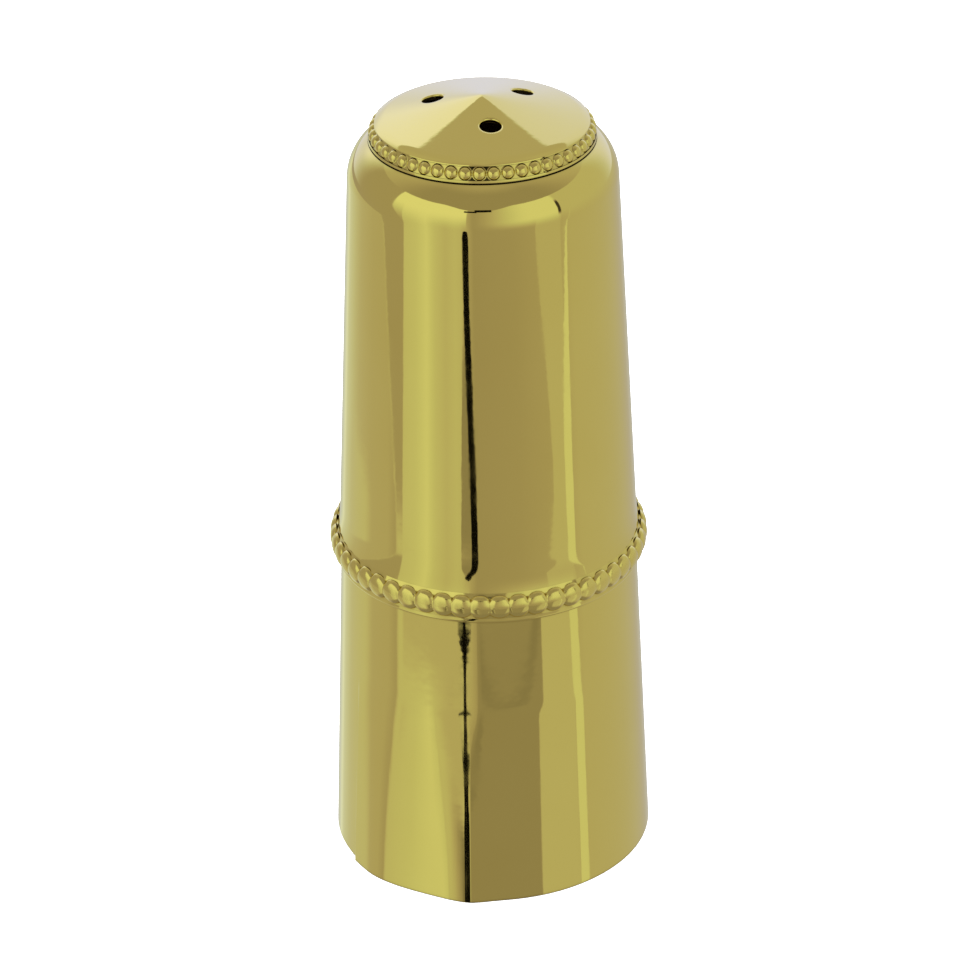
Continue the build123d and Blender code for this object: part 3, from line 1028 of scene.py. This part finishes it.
def colour_light(w, white):
    """Dim cloth is a little warmer, bright cloth greener, and the cloth behind bluer."""
    tree = bpy.context.scene.world.node_tree
    tint = colour_mix(tree, w.ramp(w.light, 0.33, 0.72), WARM_TINT, GREEN_TINT)
    background = w.nodes["Background"]
    w.links.new(colour_mix(tree, white, tint, BLUE_TINT), background.inputs["Color"])
    w.links.new(w.light, background.inputs["Strength"])


def world_light():
    """A soft tent: pale cloth in front and at the sides, bright behind, with a narrow dark gap."""
    world = bpy.data.worlds.new("tent")
    bpy.context.scene.world = world
    w = LightNodes(world)
    w.ring(RING)
    left_fold(w)
    front_folds(w, right_cloth(w))
    bright_lobes(w)
    cloth_overhead(w)
    white = cloth_behind(w)
    dark_gap(w)
    dark_shapes(w)
    colour_light(w, white)


def overhead_light():
    """A broad soft lamp for the floor only; the brass mirrors the tent instead."""
    lamp = bpy.data.lights.new("overhead", "AREA")
    lamp.shape = "DISK"
    lamp.size = 2.4
    lamp.energy = 60.0
    holder = bpy.data.objects.new("overhead", lamp)
    holder.location = (0.0, 0.0, 1.5)
    holder.visible_glossy = False
    holder.visible_camera = False
    bpy.context.scene.collection.objects.link(holder)


def floor_paper():
    """Pale paper with a faint grain, bright enough to read as a white ground."""
    material = bpy.data.materials.new("floor_paper")
    material.use_nodes = True
    tree = material.node_tree
    shader = tree.nodes["Principled BSDF"]
    shader.inputs["Roughness"].default_value = 0.9
    shader.inputs["Specular IOR Level"].default_value = 0.1
    shader.inputs["Emission Color"].default_value = (1.0, 1.0, 0.995, 1.0)
    shader.inputs["Emission Strength"].default_value = 0.5
    grain = tree.nodes.new("ShaderNodeTexNoise")
    grain.inputs["Scale"].default_value = 30.0
    colour = colour_mix(tree, grain.outputs["Fac"], (0.93, 0.93, 0.925), (0.95, 0.95, 0.945))
    tree.links.new(colour, shader.inputs["Base Color"])
    return material


def floor():
    """A wide pale floor, seen by the camera but not in the brass."""
    bpy.ops.mesh.primitive_circle_add(vertices=128, radius=FLOOR_RADIUS, fill_type="NGON")
    ground = bpy.context.object
    ground.name = "floor"
    ground.data.materials.append(floor_paper())
    ground.visible_glossy = False


world_light()
overhead_light()
floor()

# ---------------------------------------------------------------- camera
AIM_HEIGHT = 38.1
CAMERA_DISTANCE = 385.1
FOCAL_LENGTH = 145.25
SENSOR_WIDTH = 36.0
ELEVATION = 29.2
ROLL = -0.92


def make_camera():
    """A long lens that looks down at the part."""
    data = bpy.data.cameras.new("camera")
    data.sensor_width = SENSOR_WIDTH
    data.lens = FOCAL_LENGTH
    data.clip_start = 0.01
    data.clip_end = 20.0
    camera = bpy.data.objects.new("camera", data)
    bpy.context.scene.collection.objects.link(camera)
    tilt = math.radians(ELEVATION)
    back = Vector((0.0, -math.cos(tilt), math.sin(tilt)))
    camera.location = (Vector((0.0, 0.0, AIM_HEIGHT)) + back * CAMERA_DISTANCE) * MM
    camera.rotation_mode = "QUATERNION"
    roll = Matrix.Rotation(math.radians(ROLL), 3, "Z").to_quaternion()
    camera.rotation_quaternion = (-back).to_track_quat("-Z", "Y") @ roll
    bpy.context.scene.camera = camera


make_camera()
bpy.context.scene.view_settings.view_transform = "Standard"
